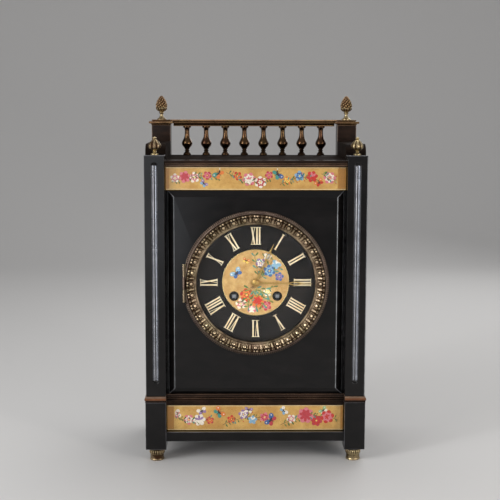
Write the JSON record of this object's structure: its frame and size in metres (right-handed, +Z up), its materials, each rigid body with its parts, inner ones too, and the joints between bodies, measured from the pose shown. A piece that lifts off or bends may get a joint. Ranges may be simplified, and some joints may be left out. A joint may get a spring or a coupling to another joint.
{
  "type": "mantel clock",
  "caption": "Slate mantel clock with a gallery, painted tiles, a hinged brass bezel, gear train, pendulum, bell and rear door.",
  "frame": {"origin": "on the ground under the middle of the case: the middle of the bounding box's underside", "axes": "+Z up, -Y out of the dial towards the viewer, +X to the viewer's right"},
  "size_m": [0.23, 0.144, 0.3755],
  "materials": {
    "slate": "polished black slate",
    "brown_slate": "polished brown-black slate",
    "bronze": "patinated bronze",
    "brass": "aged brass",
    "gilt": "gilt",
    "movement_brass": "grained brass",
    "steel": "polished steel",
    "tile_glaze": "painted and glazed",
    "dial_black": "matt black enamel paint",
    "glass": "bevelled clear glass",
    "bell_metal": "turned bell metal"
  },
  "bodies": {
    "case": {"base_slab": "slate", "pedestals": "slate", "post_bands": "brown_slate", "front_left_post": "slate", "front_right_post": "slate", "rear_left_post": "brown_slate", "rear_right_post": "brown_slate", "feet": "brass", "front_slab": "slate", "lower_moulding": "brown_slate", "left_side_panel": "slate", "right_side_panel": "slate", "back_panel": "slate", "top_slab": "brown_slate", "cornice": "brown_slate", "upper_tile": "tile_glaze", "lower_tile": "tile_glaze", "left_cheek": "brown_slate", "right_cheek": "brown_slate", "rear_caps": "brass", "gallery_rail": "brass", "balusters": "bronze", "pineapple_finials": "brass", "front_finials": "brass", "dial_ring": "brass", "dial_plate": "dial_black", "dial_gilding": "gilt", "winding_collets": "brass", "hinge_pins": "steel", "front_plate": "movement_brass", "back_plate": "movement_brass", "plate_pillars": "movement_brass", "case_straps": "steel", "strap_screws": "steel", "back_ring": "brass", "suspension_cock": "movement_brass", "bell_stand": "steel", "bell": "bell_metal"},
    "bezel": {"bezel": "brass", "bezel_glass": "glass"},
    "back_door": {"back_door": "brass"},
    "centre_arbor": {"centre_arbor": "movement_brass", "minute_hand": "brass", "hand_collet": "gilt"},
    "hour_wheel": {"hour_wheel": "movement_brass", "hour_hand": "brass"},
    "minute_wheel": {"minute_wheel": "movement_brass"},
    "intermediate_wheel": {"intermediate_wheel": "movement_brass"},
    "third_wheel": {"third_wheel": "movement_brass"},
    "escape_wheel": {"escape_wheel": "movement_brass"},
    "going_barrel": {"going_barrel": "movement_brass"},
    "going_arbor": {"going_arbor": "steel"},
    "going_click": {"going_click": "steel"},
    "strike_barrel": {"strike_barrel": "movement_brass"},
    "strike_arbor": {"strike_arbor": "steel"},
    "strike_click": {"strike_click": "steel"},
    "anchor": {"anchor": "steel"},
    "pendulum": {"pendulum_rod": "movement_brass", "pendulum_bob": "movement_brass"},
    "hammer": {"hammer": "steel"}
  },
  "joints": [
    {"name": "bezel_hinge", "type": "hinge", "parent": "case", "child": "bezel", "pos_m": [-0.0728, -0.0646, 0.186], "axis": [0, 0, -1], "range_deg": [0, 110]},
    {"name": "back_door_hinge", "type": "hinge", "parent": "case", "child": "back_door", "pos_m": [0.0595, 0.0672, 0.186], "axis": [0, 0, -1], "range_deg": [0, 110]},
    {"name": "minute_hand_turn", "type": "hinge", "parent": "case", "child": "centre_arbor", "pos_m": [0, -0.03, 0.186], "axis": [0, 1, 0], "continuous": true},
    {"name": "hour_hand_turn", "type": "hinge", "parent": "case", "child": "hour_wheel", "pos_m": [0, -0.053, 0.186], "axis": [0, 1, 0], "continuous": true},
    {"name": "minute_wheel_turn", "type": "hinge", "parent": "case", "child": "minute_wheel", "pos_m": [0, -0.051, 0.202], "axis": [0, 1, 0], "continuous": true},
    {"name": "intermediate_wheel_turn", "type": "hinge", "parent": "case", "child": "intermediate_wheel", "pos_m": [0.01892, -0.03, 0.19545], "axis": [0, 1, 0], "continuous": true},
    {"name": "third_wheel_turn", "type": "hinge", "parent": "case", "child": "third_wheel", "pos_m": [-0.01445, -0.03, 0.20096], "axis": [0, 1, 0], "continuous": true},
    {"name": "escape_wheel_turn", "type": "hinge", "parent": "case", "child": "escape_wheel", "pos_m": [0, -0.03, 0.2121], "axis": [0, 1, 0], "continuous": true},
    {"name": "going_barrel_turn", "type": "hinge", "parent": "case", "child": "going_barrel", "pos_m": [0.022, -0.03, 0.172], "axis": [0, 1, 0], "continuous": true},
    {"name": "going_winding_turn", "type": "hinge", "parent": "case", "child": "going_arbor", "pos_m": [0.022, -0.03, 0.172], "axis": [0, 1, 0], "continuous": true},
    {"name": "going_click_swing", "type": "hinge", "parent": "case", "child": "going_click", "pos_m": [0.0335, -0.049, 0.163], "axis": [0, 1, 0], "range_deg": [0, 15]},
    {"name": "strike_barrel_turn", "type": "hinge", "parent": "case", "child": "strike_barrel", "pos_m": [-0.022, -0.03, 0.172], "axis": [0, 1, 0], "continuous": true},
    {"name": "strike_winding_turn", "type": "hinge", "parent": "case", "child": "strike_arbor", "pos_m": [-0.022, -0.03, 0.172], "axis": [0, 1, 0], "continuous": true},
    {"name": "strike_click_swing", "type": "hinge", "parent": "case", "child": "strike_click", "pos_m": [-0.0335, -0.049, 0.163], "axis": [0, -1, 0], "range_deg": [0, 15]},
    {"name": "anchor_rock", "type": "hinge", "parent": "case", "child": "anchor", "pos_m": [0, -0.03, 0.226], "axis": [0, 1, 0], "range_deg": [-3, 3]},
    {"name": "pendulum_swing", "type": "hinge", "parent": "case", "child": "pendulum", "pos_m": [0, 0, 0.226], "axis": [0, 1, 0], "range_deg": [-3, 3]},
    {"name": "hammer_swing", "type": "hinge", "parent": "case", "child": "hammer", "pos_m": [-0.04, -0.03, 0.194], "axis": [0, 1, 0], "range_deg": [0, 12]}
  ],
  "couplings": [
    {"joint": "hour_hand_turn", "follows": "minute_hand_turn", "ratio": 0.083333},
    {"joint": "minute_wheel_turn", "follows": "minute_hand_turn", "ratio": -0.33333},
    {"joint": "intermediate_wheel_turn", "follows": "minute_hand_turn", "ratio": -0.11905},
    {"joint": "third_wheel_turn", "follows": "minute_hand_turn", "ratio": -12},
    {"joint": "escape_wheel_turn", "follows": "minute_hand_turn", "ratio": 132},
    {"joint": "going_barrel_turn", "follows": "minute_hand_turn", "ratio": 0.015664},
    {"joint": "anchor_rock", "follows": "pendulum_swing", "ratio": 1}
  ]
}
